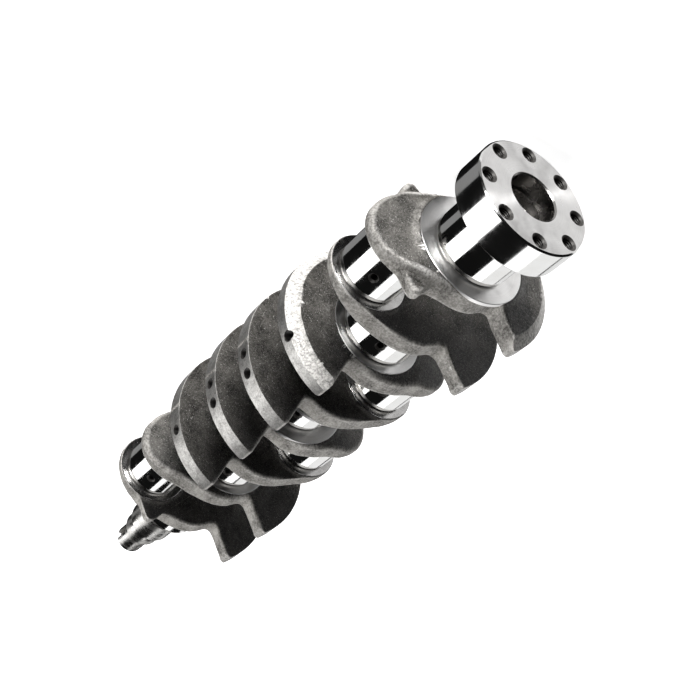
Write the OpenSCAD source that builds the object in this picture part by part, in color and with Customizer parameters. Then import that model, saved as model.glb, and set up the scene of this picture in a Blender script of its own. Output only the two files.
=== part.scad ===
// Forged crankshaft of an in-line four-cylinder engine, five main bearings, eight counterweights.
// The crank axis is X. The flywheel flange faces +X with its face at X = 0, the snout points to -X.
// Crankpins 1 and 4 lie towards +Y, crankpins 2 and 3 towards -Y. Z is up as the shaft lies at rest.

/* [Rear flange] */
// Outer diameter of the flywheel flange, which is also the rear oil seal surface
flange_d = 86; // [78:1:100]
// Thickness of the flywheel flange
flange_t = 25; // [18:1:32]
// Distance from the flange's edge to the circle that the flywheel bolts sit on
bolt_edge = 7.5; // [6.5:0.5:9]
// Number of flywheel bolts
bolt_count = 8; // [6:1:8]
// Tapping diameter of the flywheel bolt holes
bolt_hole_d = 8.5; // [7:0.1:10]
// Metal left behind the flywheel bolt holes and the pilot bore
flange_floor = 4; // [3:0.5:6]
// Diameter of the pilot bore in the flange
pilot_bore_d = 35; // [28:0.5:38]
// Depth of the pilot bore
pilot_bore_depth = 13; // [8:1:13]
// Width of the ledge at the bottom of the pilot bore
pilot_ledge = 2; // [1:0.5:4]

/* [Journals] */
// Diameter of the main journals
main_d = 58; // [52:0.5:64]
// Width of the inner main journals, from web to web
main_w = 29.5; // [24:0.5:36]
// Width of the rear main journal, from the flange to the first web
rear_main_w = 35.5; // [28:0.5:42]
// Diameter of the crankpins
pin_d = 48; // [44:0.5:54]
// Width of the crankpins, from web to web
pin_w = 36.8; // [30:0.1:42]
// Distance from the crank axis to a crankpin axis, half of the stroke
throw_r = 41.5; // [36:0.5:46]
// Depth of the undercut groove at each end of a journal
undercut = 1; // [0.5:0.1:1.5]
// Width of the undercut groove at each end of a journal
undercut_w = 2.6; // [2:0.1:3.5]

/* [Webs] */
// Thickness of a web, measured over its machined collars
web_t = 20; // [17:0.5:24]
// Height of the machined collars that stand on a web around each journal
collar_h = 1.2; // [0.8:0.1:2]
// Width of the machined collars beside the main journals
collar_w = 7; // [5:0.5:9]
// Width of the machined collars beside the crankpins
pin_collar_w = 5.5; // [4:0.5:6]
// Width of the thrust collars beside the centre main journal
thrust_w = 11; // [7:0.5:12]
// Width of the wide collar between the rear main journal and the last web
rear_collar_w = 12.5; // [8:0.5:13]
// Width of the web around the crankpin
boss_w = 6.5; // [6:0.5:9]
// Width of the web around the main journal
hub_w = 14; // [13:0.5:16]
// Depth of the bevel at the crankpin end of a web
bevel_depth = 12; // [6:0.5:14]

/* [Counterweights] */
// Outer radius of the counterweights
weight_r = 71.4; // [66:0.2:80]
// Thickness of a plain counterweight
weight_t = 14; // [11:0.5:16]
// Thickness of a counterweight with a bevelled rim
wide_weight_t = 16.5; // [14:0.5:17]
// Half of the angle that a counterweight spans
weight_half_angle = 58; // [50:1:64]
// Width of the bevelled rim, measured along a radius
rim_bevel = 8; // [4:0.5:10]
// Diameter of the balance drillings
balance_d = 8; // [5:0.5:10]
// Depth of the balance drillings
balance_depth = 18; // [8:1:22]

/* [Oil ways] */
// Diameter of the oil holes that open on the journals
oil_d = 5.2; // [4.8:0.1:7]
// Diameter of the slanting oil ways inside the webs
oil_way_d = 4; // [3:0.5:4]
// Width of the countersink at the mouth of an oil drilling
oil_mouth = 1.4; // [0.5:0.1:2]

/* [Snout] */
// Diameter of the timing sprocket seat
sprocket_seat_d = 40; // [36:0.5:46]
// Length of the timing sprocket seat
sprocket_seat_l = 40; // [28:1:50]
// Diameter of the pulley seat
pulley_seat_d = 33; // [29:0.5:35]
// Length of the pulley seat
pulley_seat_l = 19; // [14:1:28]
// Diameter of the nose at the front end
nose_d = 26; // [24:0.5:28]
// Length of the nose
nose_l = 26; // [20:1:34]
// Width of the keyway
key_w = 6; // [5:0.5:8]
// Depth of the keyway
key_depth = 3.6; // [2.5:0.1:4]
// Length of the keyway
key_l = 19; // [12:1:19]
// Tapping diameter of the hole for the pulley bolt
nose_hole_d = 10.2; // [8:0.1:12]
// Depth of the hole for the pulley bolt
nose_hole_depth = 34; // [20:1:40]

/* [Hidden] */
$fn = 96;
round_fn = 64;
gap = 0.5;                       // how far a cutting shape runs past the face it opens
edge = 1;                        // small chamfer on machined edges
bolt_mouth = 1.5;                // width of the countersink round a bolt hole
boss_r = pin_d / 2 + boss_w;
hub_r = main_d / 2 + hub_w;
bolt_circle_d = flange_d - 2 * bolt_edge;
bolt_hole_depth = flange_t - flange_floor;
pitch = main_w + pin_w + 2 * web_t;
first_web_x = -flange_t - rear_main_w;
front_web_x = first_web_x - 3 * pitch - web_t - pin_w;
snout_x = front_web_x - web_t - main_w;
pulley_seat_x = snout_x - sprocket_seat_l;
nose_x = pulley_seat_x - pulley_seat_l;
front_x = nose_x - nose_l;
pilot_step_d = pilot_bore_d - 2 * pilot_ledge;
pilot_step_depth = flange_t - flange_floor - pilot_bore_depth;
centre_mark_d = 14;              // mouth of the lathe centre's cone in the floor of the pilot bore
centre_mark_depth = 3;
balance_edge = 8;                // distance of the balance drillings from the edge of a wide weight
rim_slope = 0.8;                 // how far the bevelled rim runs along X for each unit of its width
main_oil_angle = 72;             // angle of an oil hole's mouth round its journal, from +Y to +Z
rear_oil_angle = 252;            // the rear main journal is drilled from its other side
pin_oil_angle = 65;
forged = "#6f6c68";
ground = "#d9dadc";

// X of the rear face of web n, counted from the snout, so web 8 is next to the flange
function web_x(n) =
    let (pair = floor((8 - n) / 2), second = (8 - n) % 2)
    first_web_x - pair * pitch - second * (web_t + pin_w);
// Crankpins 1 and 4, and the webs that carry them, point to +Y
function points_up(pin) = (pin == 1 || pin == 4) ? 1 : -1;
function pin_of_web(n) = ceil(n / 2);
// Rear face of a crankpin and of an inner main journal
function pin_x(pin) = web_x(2 * pin) - web_t;
function main_x(m) = m == 5 ? -flange_t : web_x(2 * m - 1) - web_t;
function main_width(m) = m == 5 ? rear_main_w : main_w;

// A bar along -X, starting at x
module bar(x, d, length) {
    translate([x - length, 0, 0])
        rotate([0, 90, 0])
            cylinder(d = d, h = length);
}

// A shape of Y and Z outlines, from x towards -X
module slab(x, thickness) {
    translate([x - thickness, 0, 0])
        rotate([90, 0, 90])
            linear_extrude(thickness)
                children();
}

// A body of revolution about X: its profile has the radius first and the distance from x second
module turned(x, profile) {
    translate([x, 0, 0])
        rotate([0, -90, 0])
            rotate_extrude()
                polygon(profile);
}

// A ground journal with an undercut groove at each end, along -X from x
module journal_body(x, d, width) {
    r = d / 2;
    turned(x, [
        [0, 0], [r - undercut, 0], [r - undercut, undercut_w], [r, undercut_w + undercut],
        [r, width - undercut_w - undercut], [r - undercut, width - undercut_w],
        [r - undercut, width], [0, width]
    ]);
}

// The slanting oil way of one crankpin: from the middle of the main journal to the middle of the pin
module oil_way(pin) {
    m = pin >= 3 ? pin + 1 : pin;
    main_mid = main_x(m) - (m == 5 ? rear_main_w - main_w / 2 : main_w / 2);
    pin_mid = pin_x(pin) - pin_w / 2;
    reach = points_up(pin) * throw_r;
    run = pin_mid - main_mid;
    length = sqrt(run * run + reach * reach);
    translate([main_mid, 0, 0])
        rotate([0, 0, atan2(reach, run)])
            rotate([0, 90, 0])
                cylinder(d = oil_way_d, h = length, $fn = 32);
}

// A radial oil hole with a countersunk mouth, at x on a journal of diameter d, centred on y
module oil_hole(x, y, d, angle) {
    mouth_d = oil_d + 2 * oil_mouth;
    translate([x, y, 0])
        rotate([angle - 90, 0, 0]) {
            translate([0, 0, -oil_d])
                cylinder(d = oil_d, h = d + oil_d, $fn = 32);
            translate([0, 0, d / 2 - oil_mouth])
                cylinder(d1 = oil_d, d2 = mouth_d + 2 * gap, h = oil_mouth + gap, $fn = 32);
        }
}

module main_journal(m) {
    x = main_x(m);
    width = main_width(m);
    oil_x = m == 5 ? x - rear_main_w + main_w / 2 : x - width / 2;
    color(ground)
        difference() {
            journal_body(x, main_d, width);
            oil_hole(oil_x, 0, main_d, m == 5 ? rear_oil_angle : main_oil_angle);
            if (m < 3)
                oil_way(m);
            if (m > 3)
                oil_way(m - 1);
        }
}

module crankpin(pin) {
    x = pin_x(pin);
    y = points_up(pin) * throw_r;
    color(ground)
        difference() {
            translate([0, y, 0])
                journal_body(x, pin_d, pin_w);
            oil_hole(x - pin_w / 2, y, pin_d, pin_oil_angle);
            oil_way(pin);
        }
}

// Outline of a web with its crankpin towards +Y: two rounds joined by straight flanks
module web_outline() {
    lean = asin((hub_r - boss_r) / throw_r);
    circle(r = hub_r);
    translate([throw_r, 0])
        circle(r = boss_r, $fn = round_fn);
    polygon([
        [hub_r * sin(lean), hub_r * cos(lean)],
        [throw_r + boss_r * sin(lean), boss_r * cos(lean)],
        [throw_r + boss_r * sin(lean), -boss_r * cos(lean)],
        [hub_r * sin(lean), -hub_r * cos(lean)]
    ]);
}

// The two forging lugs on the flanks of the outermost webs
module lug_outline() {
    lug_y = 0.94 * throw_r;
    lug_z = hub_r + 3.5;
    for (side = [-1, 1])
        polygon([
            [lug_y - 16, 0], [lug_y - 15, side * (hub_r - 6.5)], [lug_y - 2, side * lug_z],
            [lug_y + 3, side * (lug_z - 1)], [lug_y + 12, side * boss_r * 0.9], [lug_y + 12, 0]
        ]);
}

// The sector that a counterweight fills, pointing to -Y
module sector_outline() {
    reach = 2 * weight_r;
    a = weight_half_angle;
    polygon([
        [0, 0], [-reach * cos(a), reach * sin(a)], [-reach, reach], [-reach, -reach],
        [-reach * cos(a), -reach * sin(a)]
    ]);
}

// A counterweight, wide ones with a bevelled rim on the flange side
module weight_body(x, wide) {
    thickness = wide ? wide_weight_t : weight_t;
    front = wide ? x - (web_t - thickness) : x - (web_t - thickness) / 2;
    bevel = wide ? rim_bevel : edge;
    intersection() {
        turned(front, [
            [0, 0], [weight_r - bevel, 0], [weight_r, wide ? rim_slope * bevel : bevel],
            [weight_r, thickness - edge], [weight_r - edge, thickness], [0, thickness]
        ]);
        slab(x, web_t) sector_outline();
    }
}

// The slanting cut that thins the crankpin end of a web on its main journal side
module pin_end_bevel(x, main_in_front) {
    start = main_d / 2 + collar_w + 1;
    run = throw_r + boss_r - start;
    depth = bevel_depth;
    face = main_in_front ? x : x - web_t;
    inward = main_in_front ? -1 : 1;
    translate([0, 0, -2 * boss_r])
        linear_extrude(4 * boss_r)
            polygon([
                [face - inward * gap, start - gap * run / depth],
                [face + inward * (depth + gap), start + run + gap * run / depth],
                [face - inward * gap, start + run + gap * run / depth]
            ]);
}

// Web n with its counterweight, the machined collars round its journals, and what is drilled in it
module web(n, collar, wide, lugs, balance_angles) {
    x = web_x(n);
    pin = pin_of_web(n);
    main_in_front = n % 2 == 0;
    main_side = main_in_front ? x : x - web_t + collar_h;
    pin_side = main_in_front ? x - web_t + collar_h : x;
    weight_x = wide ? x - web_t + balance_edge : x - web_t / 2;
    color(forged)
        difference() {
            mirror([0, points_up(pin) > 0 ? 0 : 1, 0])
                difference() {
                    union() {
                        difference() {
                            union() {
                                slab(x - collar_h, web_t - 2 * collar_h) web_outline();
                                if (lugs)
                                    slab(main_in_front ? x - web_t / 2 : x - collar_h,
                                         web_t / 2 - collar_h) lug_outline();
                            }
                            pin_end_bevel(x, main_in_front);
                        }
                        weight_body(x, wide);
                        bar(main_side, main_d + 2 * collar, collar_h);
                        translate([0, throw_r, 0])
                            bar(pin_side, pin_d + 2 * pin_collar_w, collar_h);
                        bar(x, main_d, web_t);
                    }
                    for (a = balance_angles)
                        translate([weight_x, 0, 0])
                            rotate([a - 90, 0, 0])
                                translate([0, 0, weight_r - balance_depth])
                                    cylinder(d = balance_d, h = balance_depth + gap, $fn = 32);
                }
            oil_way(pin);
        }
}

module rear_flange() {
    r = flange_d / 2;
    color(ground)
        difference() {
            turned(0, [
                [0, 0], [r - edge, 0], [r, edge], [r, flange_t - edge], [r - edge, flange_t],
                [0, flange_t]
            ]);
            bar(gap, pilot_bore_d, pilot_bore_depth + gap);
            bar(0, pilot_step_d, pilot_bore_depth + pilot_step_depth);
            turned(0, [
                [0, 0], [pilot_bore_d / 2 + edge, 0], [pilot_bore_d / 2, edge], [0, edge]
            ]);
            turned(-bolt_hole_depth, [
                [0, -gap], [centre_mark_d / 2, -gap], [centre_mark_d / 2, 0], [0, centre_mark_depth]
            ]);
            for (k = [0:bolt_count - 1])
                rotate([k * 360 / bolt_count, 0, 0])
                    translate([0, bolt_circle_d / 2, 0]) {
                        bar(gap, bolt_hole_d, bolt_hole_depth + gap, $fn = 48);
                        turned(gap, [
                            [0, 0], [bolt_hole_d / 2 + bolt_mouth + gap, 0],
                            [bolt_hole_d / 2, bolt_mouth + gap], [0, bolt_mouth + gap]
                        ]);
                    }
        }
}

module sprocket_seat() {
    r = sprocket_seat_d / 2;
    color(ground)
        turned(snout_x, [
            [0, 0], [r, 0], [r, sprocket_seat_l - edge], [r - edge, sprocket_seat_l],
            [0, sprocket_seat_l]
        ]);
}

module pulley_seat() {
    r = pulley_seat_d / 2;
    color(ground)
        difference() {
            turned(pulley_seat_x, [
                [0, 0], [r, 0], [r, pulley_seat_l - edge], [r - edge, pulley_seat_l],
                [0, pulley_seat_l]
            ]);
            nose_hole();
        }
}

module nose_hole() {
    bar(front_x + nose_hole_depth, nose_hole_d, nose_hole_depth + gap, $fn = 48);
}

module snout_nose() {
    r = nose_d / 2;
    color(ground)
        difference() {
            turned(nose_x, [
                [0, 0], [r, 0], [r, nose_l - edge], [r - edge, nose_l], [0, nose_l]
            ]);
            nose_hole();
            translate([front_x - gap, r - key_depth, -key_w / 2])
                cube([key_l + gap, key_depth + edge, key_w]);
        }
}

rear_flange();
main_journal(5);  // main_journal_5
web(8, rear_collar_w, true, true, []);  // web_8
crankpin(4);  // crankpin_4
web(7, collar_w, false, false, []);  // web_7
main_journal(4);  // main_journal_4
web(6, collar_w, true, false, [159]);  // web_6
crankpin(3);  // crankpin_3
web(5, thrust_w, false, false, [172, 159]);  // web_5
main_journal(3);  // main_journal_3
web(4, thrust_w, false, false, [173, 160]);  // web_4
crankpin(2);  // crankpin_2
web(3, collar_w, false, false, [164]);  // web_3
main_journal(2);  // main_journal_2
web(2, collar_w, false, false, []);  // web_2
crankpin(1);  // crankpin_1
web(1, collar_w, false, true, []);  // web_1
main_journal(1);  // main_journal_1
sprocket_seat();
pulley_seat();
snout_nose();
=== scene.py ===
"""Looks of a forged crankshaft with five main journals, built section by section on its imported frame.

The shaft is made the way the real one is. Webs are forged plates that are then turned on their
rims, faced beside their journals and drilled. Journals, seats and the flange grow from one turning
rule in Geometry Nodes. Lengths inside the classes are millimetres, and a finished mesh is scaled
to metres once, with its place in it.
"""

import logging
import math
from dataclasses import dataclass, field
from enum import Enum
from typing import Optional, Sequence

import bmesh
import bpy
import numpy as np
from mathutils import Matrix, Vector, noise


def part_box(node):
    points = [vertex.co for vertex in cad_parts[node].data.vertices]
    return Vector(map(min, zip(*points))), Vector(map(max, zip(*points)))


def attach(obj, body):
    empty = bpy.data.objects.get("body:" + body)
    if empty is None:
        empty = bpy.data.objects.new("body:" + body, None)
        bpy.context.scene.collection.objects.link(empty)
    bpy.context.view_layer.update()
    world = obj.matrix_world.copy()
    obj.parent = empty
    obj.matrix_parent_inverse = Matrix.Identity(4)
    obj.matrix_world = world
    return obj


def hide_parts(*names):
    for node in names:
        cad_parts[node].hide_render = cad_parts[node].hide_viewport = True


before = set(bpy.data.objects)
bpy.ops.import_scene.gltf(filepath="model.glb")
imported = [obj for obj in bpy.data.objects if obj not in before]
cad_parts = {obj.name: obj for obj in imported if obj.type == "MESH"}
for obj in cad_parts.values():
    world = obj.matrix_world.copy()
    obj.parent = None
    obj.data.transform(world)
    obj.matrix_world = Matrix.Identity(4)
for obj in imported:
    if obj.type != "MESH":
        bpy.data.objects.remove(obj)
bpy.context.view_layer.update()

MM = 0.001
THROW = 41.5
LOG = logging.getLogger("crankshaft")

Socket = bpy.types.NodeSocket
Material = bpy.types.Material
Piece = bpy.types.Object
Pair = tuple[float, float]
Triple = tuple[float, float, float]
Profile = Sequence[Pair]
Faces = list[tuple[int, ...]]


class Slot(Enum):
    """Material slots of the record."""

    FORGED = "forged_steel"
    JOURNAL = "journal_steel"
    FLANGE = "flange_steel"
    SNOUT = "snout_steel"


class Cut(Enum):
    """What a tool does to the piece that it meets."""

    TAKE_AWAY = "DIFFERENCE"
    ADD = "UNION"


# ---------------------------------------------------------------- node trees


class Tree:
    """Short forms for building a node tree."""

    def __init__(self, tree: bpy.types.NodeTree) -> None:
        """Starts on an empty tree."""
        self.tree = tree
        tree.nodes.clear()

    def add(self, kind: str, **settings: object) -> bpy.types.Node:
        """Adds a node.

        Args:
            kind: the node's type name.
            **settings: attributes to set on it.

        Returns:
            The node.
        """
        node = self.tree.nodes.new(kind)
        for key, value in settings.items():
            setattr(node, key, value)
        return node

    def wire(self, source: Socket, target: Socket) -> None:
        """Links an output to an input."""
        self.tree.links.new(source, target)

    def put(self, value: object, target: Socket) -> None:
        """Links a socket, or sets a constant on the input.

        Args:
            value: an output socket, a number or a tuple; a colour is given by three numbers.
            target: the input.
        """
        if isinstance(value, Socket):
            self.wire(value, target)
        elif target.type == "RGBA":
            target.default_value = (*value, 1.0)
        else:
            target.default_value = value

    def fill(self, node: bpy.types.Node, values: dict[str, object]) -> None:
        """Links or sets inputs of a node by their names."""
        for name, value in values.items():
            self.put(value, node.inputs[name])

    def math(self, operation: str, a: object, b: object = 0.0) -> Socket:
        """Adds a Math node.

        Args:
            operation: the node's operation.
            a: first value or socket.
            b: second value or socket.

        Returns:
            Its output.
        """
        node = self.add("ShaderNodeMath", operation=operation)
        self.put(a, node.inputs[0])
        self.put(b, node.inputs[1])
        return node.outputs[0]

    def span(self, value: object, low: float, high: float, to_low: float, to_high: float) -> Socket:
        """Maps a value from one range to another and holds it there.

        Args:
            value: the value's socket.
            low: start of its range.
            high: end of its range.
            to_low: result at the start.
            to_high: result at the end.

        Returns:
            The mapped value.
        """
        node = self.add("ShaderNodeMapRange", clamp=True)
        for given, target in zip((value, low, high, to_low, to_high), node.inputs):
            self.put(given, target)
        return node.outputs["Result"]

    def blend(self, share: object, first: object, second: object) -> Socket:
        """Mixes two colours.

        Args:
            share: how much of the second colour, from 0 to 1.
            first: colour or socket.
            second: colour or socket.

        Returns:
            The mixed colour.
        """
        node = self.add("ShaderNodeMix", data_type="RGBA")
        self.put(share, node.inputs[0])
        self.put(first, node.inputs[6])
        self.put(second, node.inputs[7])
        return node.outputs[2]

    def grain(self, place: Socket, scale: float, detail: float = 2.0,
              rough: float = 0.5) -> Socket:
        """Adds a noise.

        Args:
            place: its coordinates.
            scale: features per metre.
            detail: number of finer layers.
            rough: strength of the finer layers.

        Returns:
            Its value.
        """
        node = self.add("ShaderNodeTexNoise")
        self.fill(node, {"Vector": place, "Scale": scale, "Detail": detail, "Roughness": rough})
        return node.outputs["Fac"]

    def stretched(self, scale: Triple = (1.0, 1.0, 1.0), centre: Triple = (0.0, 0.0, 0.0)) -> Socket:
        """Object coordinates about a centre, stretched.

        Args:
            scale: factor along each axis.
            centre: the point that becomes the origin.

        Returns:
            The coordinates.
        """
        source = self.add("ShaderNodeTexCoord")
        mapping = self.add("ShaderNodeMapping")
        self.fill(mapping, {"Vector": source.outputs["Object"], "Scale": scale,
                            "Location": tuple(-c * s for c, s in zip(centre, scale))})
        return mapping.outputs["Vector"]

    def bump(self, height: Socket, strength: float, distance: float,
             under: Optional[Socket] = None) -> Socket:
        """Adds a bump.

        Args:
            height: the height's socket.
            strength: share of the effect.
            distance: height of one unit, in metres.
            under: a normal that this bump lies on.

        Returns:
            The bumped normal.
        """
        node = self.add("ShaderNodeBump")
        self.fill(node, {"Strength": strength, "Distance": distance, "Height": height})
        if under is not None:
            self.wire(under, node.inputs["Normal"])
        return node.outputs["Normal"]


def new_material(name: str) -> tuple[Material, Tree, bpy.types.Node]:
    """Starts a material.

    Args:
        name: its name.

    Returns:
        The material, its tree and its Principled shader.
    """
    material = bpy.data.materials.new(name)
    material.use_nodes = True
    tree = Tree(material.node_tree)
    shader = tree.add("ShaderNodeBsdfPrincipled")
    output = tree.add("ShaderNodeOutputMaterial")
    tree.wire(shader.outputs["BSDF"], output.inputs["Surface"])
    return material, tree, shader


# ---------------------------------------------------------------- finishes


@dataclass(frozen=True)
class ForgedFinish:
    """Blasted forging skin: gritty, with painted shade that makes its flat faces across the shaft
    near-black, worn bright on its edges.
    """

    name: str = "forged_skin"
    dark: Triple = (0.085, 0.080, 0.073)
    pale: Triple = (0.40, 0.385, 0.36)
    # Near-black painted shade colours and metal for the faces that point along the shaft.
    shaded_face_dark: Triple = (0.007, 0.0065, 0.0058)
    shaded_face_pale: Triple = (0.070, 0.066, 0.060)
    worn: Triple = (0.86, 0.84, 0.81)
    metallic: float = 0.36
    shaded_face_metallic: float = 0.06
    specular: float = 0.3
    fine_scale: float = 1500.0
    blast_scale: float = 620.0
    cloud_scale: float = 75.0
    pit_scale: float = 520.0
    pit_reach: float = 0.45
    shaded_facing: Pair = (0.70, 0.97)
    sharp_edges: Pair = (0.505, 0.55)
    bright_specks: Pair = (0.60, 0.74)
    edge_wear: float = 0.7
    speck_wear: float = 0.55
    wave: float = 0.0012
    grit: float = 0.00048

    def build(self) -> Material:
        """Makes the material.

        Returns:
            The material.
        """
        material, t, shader = new_material(self.name)
        place = t.stretched()
        fine = t.grain(place, self.fine_scale, 3.0, 0.65)
        blasted = t.grain(place, self.blast_scale, 2.0, 0.6)
        cloudy = t.grain(place, self.cloud_scale, 3.0, 0.6)
        pits = t.add("ShaderNodeTexVoronoi", feature="F1")
        t.fill(pits, {"Vector": place, "Scale": self.pit_scale})
        pit_depth = t.span(pits.outputs["Distance"], 0.0, self.pit_reach, 0.0, 1.0)
        clouds, blasts = t.span(cloudy, 0.35, 0.68, 0.0, 0.65), t.span(blasted, 0.38, 0.66, 0.0, 0.5)
        mottle = t.math("MINIMUM", t.math("ADD", clouds, blasts), 1.0)
        shape, facing = t.add("ShaderNodeNewGeometry"), t.add("ShaderNodeSeparateXYZ")
        t.wire(shape.outputs["Normal"], facing.inputs[0])
        # Painted shade: faces that point along the shaft get near-black colours and less metal, chosen by
        # their facing alone.
        flat = t.span(t.math("ABSOLUTE", facing.outputs["X"]), *self.shaded_facing, 0.0, 1.0)
        skin = t.blend(flat, t.blend(mottle, self.dark, self.pale),
                       t.blend(mottle, self.shaded_face_dark, self.shaded_face_pale))
        wear = t.span(shape.outputs["Pointiness"], *self.sharp_edges, 0.0, self.edge_wear)
        wear = t.math("MULTIPLY", wear, t.span(blasted, 0.35, 0.6, 0.35, 1.0))
        wear = t.math("MAXIMUM", wear, t.span(fine, *self.bright_specks, 0.0, self.speck_wear))
        height = t.math("ADD", t.math("MULTIPLY", blasted, 0.9), t.math("MULTIPLY", fine, 0.4))
        height = t.math("ADD", height, t.math("MULTIPLY", pit_depth, 0.35))
        t.fill(shader, {
            "Base Color": t.blend(wear, skin, self.worn),
            "Metallic": t.span(flat, 0.0, 1.0, self.metallic, self.shaded_face_metallic),
            "Specular IOR Level": self.specular,
            "Roughness": t.span(blasted, 0.3, 0.7, 0.60, 0.40),
            "Normal": t.bump(height, 0.9, self.grit, t.bump(cloudy, 0.6, self.wave)),
        })
        return material


@dataclass(frozen=True)
class GroundFinish:
    """Ground and polished steel, with fine lines that run round the shaft."""

    name: str
    tone: Triple = (0.80, 0.80, 0.79)
    film: Triple = (0.66, 0.64, 0.60)
    roughness: float = 0.07
    smear_scale: float = 120.0
    line_scale: float = 5200.0
    line_depth: float = 0.0000045

    def build(self) -> Material:
        """Makes the material.

        Returns:
            The material.
        """
        material, t, shader = new_material(self.name)
        lines = t.grain(t.stretched((1.0, 0.02, 0.02)), self.line_scale, 2.0, 0.6)
        smear = t.grain(t.stretched((1.0, 0.35, 0.35)), self.smear_scale, 3.0, 0.6)
        t.fill(shader, {
            "Base Color": t.blend(t.span(smear, 0.40, 0.72, 0.0, 0.22), self.tone, self.film),
            "Metallic": 1.0,
            "Roughness": t.span(smear, 0.35, 0.75, self.roughness * 0.75, self.roughness * 1.9),
            "Normal": t.bump(lines, 0.6, self.line_depth),
        })
        return material


@dataclass(frozen=True)
class FacedFinish:
    """A face cut on the lathe: rings round the centre that it was turned about."""

    name: str
    centre: Pair = (0.0, 0.0)
    tone: Triple = (0.62, 0.61, 0.60)
    dulling: float = 0.72
    roughness: float = 0.24
    smear_scale: float = 90.0
    ring_scale: float = 1900.0
    ring_depth: float = 0.000012
    glare: float = 0.0

    def build(self) -> Material:
        """Makes the material.

        Returns:
            The material.
        """
        material, t, shader = new_material(self.name)
        place = t.stretched((0.0, 1.0, 1.0), (0.0, *self.centre))
        radius = t.add("ShaderNodeVectorMath", operation="LENGTH")
        t.wire(place, radius.inputs[0])
        along = t.add("ShaderNodeCombineXYZ")
        t.wire(radius.outputs["Value"], along.inputs["X"])
        rings = t.grain(along.outputs["Vector"], self.ring_scale, 2.0, 0.7)
        smear = t.grain(t.stretched(), self.smear_scale, 3.0, 0.6)
        shade = t.math("ADD", t.span(rings, 0.35, 0.65, 0.0, 0.35), t.span(smear, 0.4, 0.7, 0.0, 0.3))
        t.fill(shader, {
            "Base Color": t.blend(shade, self.tone, tuple(self.dulling * c for c in self.tone)),
            "Metallic": 1.0,
            "Roughness": t.span(smear, 0.35, 0.7, self.roughness * 0.8, self.roughness * 1.35),
            "Normal": t.bump(rings, 0.7, self.ring_depth),
        })
        if self.glare > 0:
            outward = t.add("ShaderNodeVectorMath", operation="NORMALIZE")
            t.wire(place, outward.inputs[0])
            t.fill(shader, {"Anisotropic": self.glare, "Tangent": outward.outputs["Vector"]})
        return material


@dataclass(frozen=True)
class RimFinish:
    """Turned counterweight rim over forging skin: silver with coarse torn grain."""

    name: str = "turned_rim"
    pale: Triple = (0.62, 0.61, 0.59)
    dark: Triple = (0.24, 0.23, 0.22)
    metallic: float = 0.95
    roughness: float = 0.42
    torn_scale: float = 800.0
    torn_depth: float = 0.00012
    patch_scale: float = 150.0
    line_scale: float = 2200.0
    line_depth: float = 0.00003

    def build(self) -> Material:
        """Makes the material.

        Returns:
            The material.
        """
        material, t, shader = new_material(self.name)
        place = t.stretched()
        torn = t.grain(place, self.torn_scale, 3.0, 0.7)
        patches = t.grain(place, self.patch_scale, 3.0, 0.65)
        lines = t.grain(t.stretched((1.0, 0.05, 0.05)), self.line_scale, 2.0, 0.6)
        share = t.math("ADD", t.span(torn, 0.40, 0.64, 0.0, 0.55), t.span(patches, 0.42, 0.66, 0.0, 0.45))
        under = t.bump(lines, 0.5, self.line_depth)
        t.fill(shader, {
            "Base Color": t.blend(share, self.pale, self.dark),
            "Metallic": self.metallic,
            "Roughness": t.span(torn, 0.3, 0.7, self.roughness * 0.8, self.roughness * 1.3),
            "Normal": t.bump(torn, 0.8, self.torn_depth, under),
        })
        return material


@dataclass(frozen=True)
class DrilledFinish:
    """The wall of a drilled hole: near-black as painted shade inside the hole, with spiral tool marks."""

    name: str = "drilled_wall_painted_shade"
    # Near-black tone: painted shade inside the holes.
    tone: Triple = (0.035, 0.033, 0.031)
    lighter: float = 2.2
    metallic: float = 0.5
    roughness: float = 0.45
    mark_scale: float = 1300.0
    mark_depth: float = 0.00006

    def build(self) -> Material:
        """Makes the material.

        Returns:
            The material.
        """
        material, t, shader = new_material(self.name)
        marks = t.grain(t.stretched(), self.mark_scale, 2.0, 0.6)
        light = tuple(min(1.0, self.lighter * c) for c in self.tone)
        t.fill(shader, {
            "Base Color": t.blend(t.span(marks, 0.4, 0.7, 0.0, 0.6), self.tone, light),
            "Metallic": self.metallic,
            "Roughness": self.roughness,
            "Normal": t.bump(marks, 0.6, self.mark_depth),
        })
        return material


class Finishes:
    """The finishes of the shaft, each made once."""

    def __init__(self) -> None:
        """Builds all materials."""
        self.forged = ForgedFinish().build()
        self.ground = GroundFinish("ground_journal").build()
        self.seal = GroundFinish("ground_flange_rim", roughness=0.09, line_scale=3800.0,
                                 line_depth=0.000007).build()
        self.snout = GroundFinish("ground_snout", tone=(0.66, 0.65, 0.63), roughness=0.22).build()
        self.groove = FacedFinish("undercut_groove", tone=(0.46, 0.45, 0.43), roughness=0.30).build()
        self.face = FacedFinish("turned_flange_face", tone=(0.80, 0.79, 0.78), roughness=0.34,
                                ring_scale=1500.0, ring_depth=0.00001, glare=0.85).build()
        self.bore = FacedFinish("pilot_bore_wall", tone=(0.30, 0.29, 0.28), roughness=0.26).build()
        self.collar = FacedFinish("faced_collar", tone=(0.90, 0.89, 0.88), roughness=0.36).build()
        self.pin_collar_up, self.pin_collar_down = (
            FacedFinish(f"faced_pin_collar_{way}", centre=(side * THROW * MM, 0.0)).build()
            for way, side in (("up", 1), ("down", -1)))
        self.rim = RimFinish().build()
        # Hole walls carry near-black painted shade.
        self.drilled = DrilledFinish().build()


# ---------------------------------------------------------------- meshes


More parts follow.
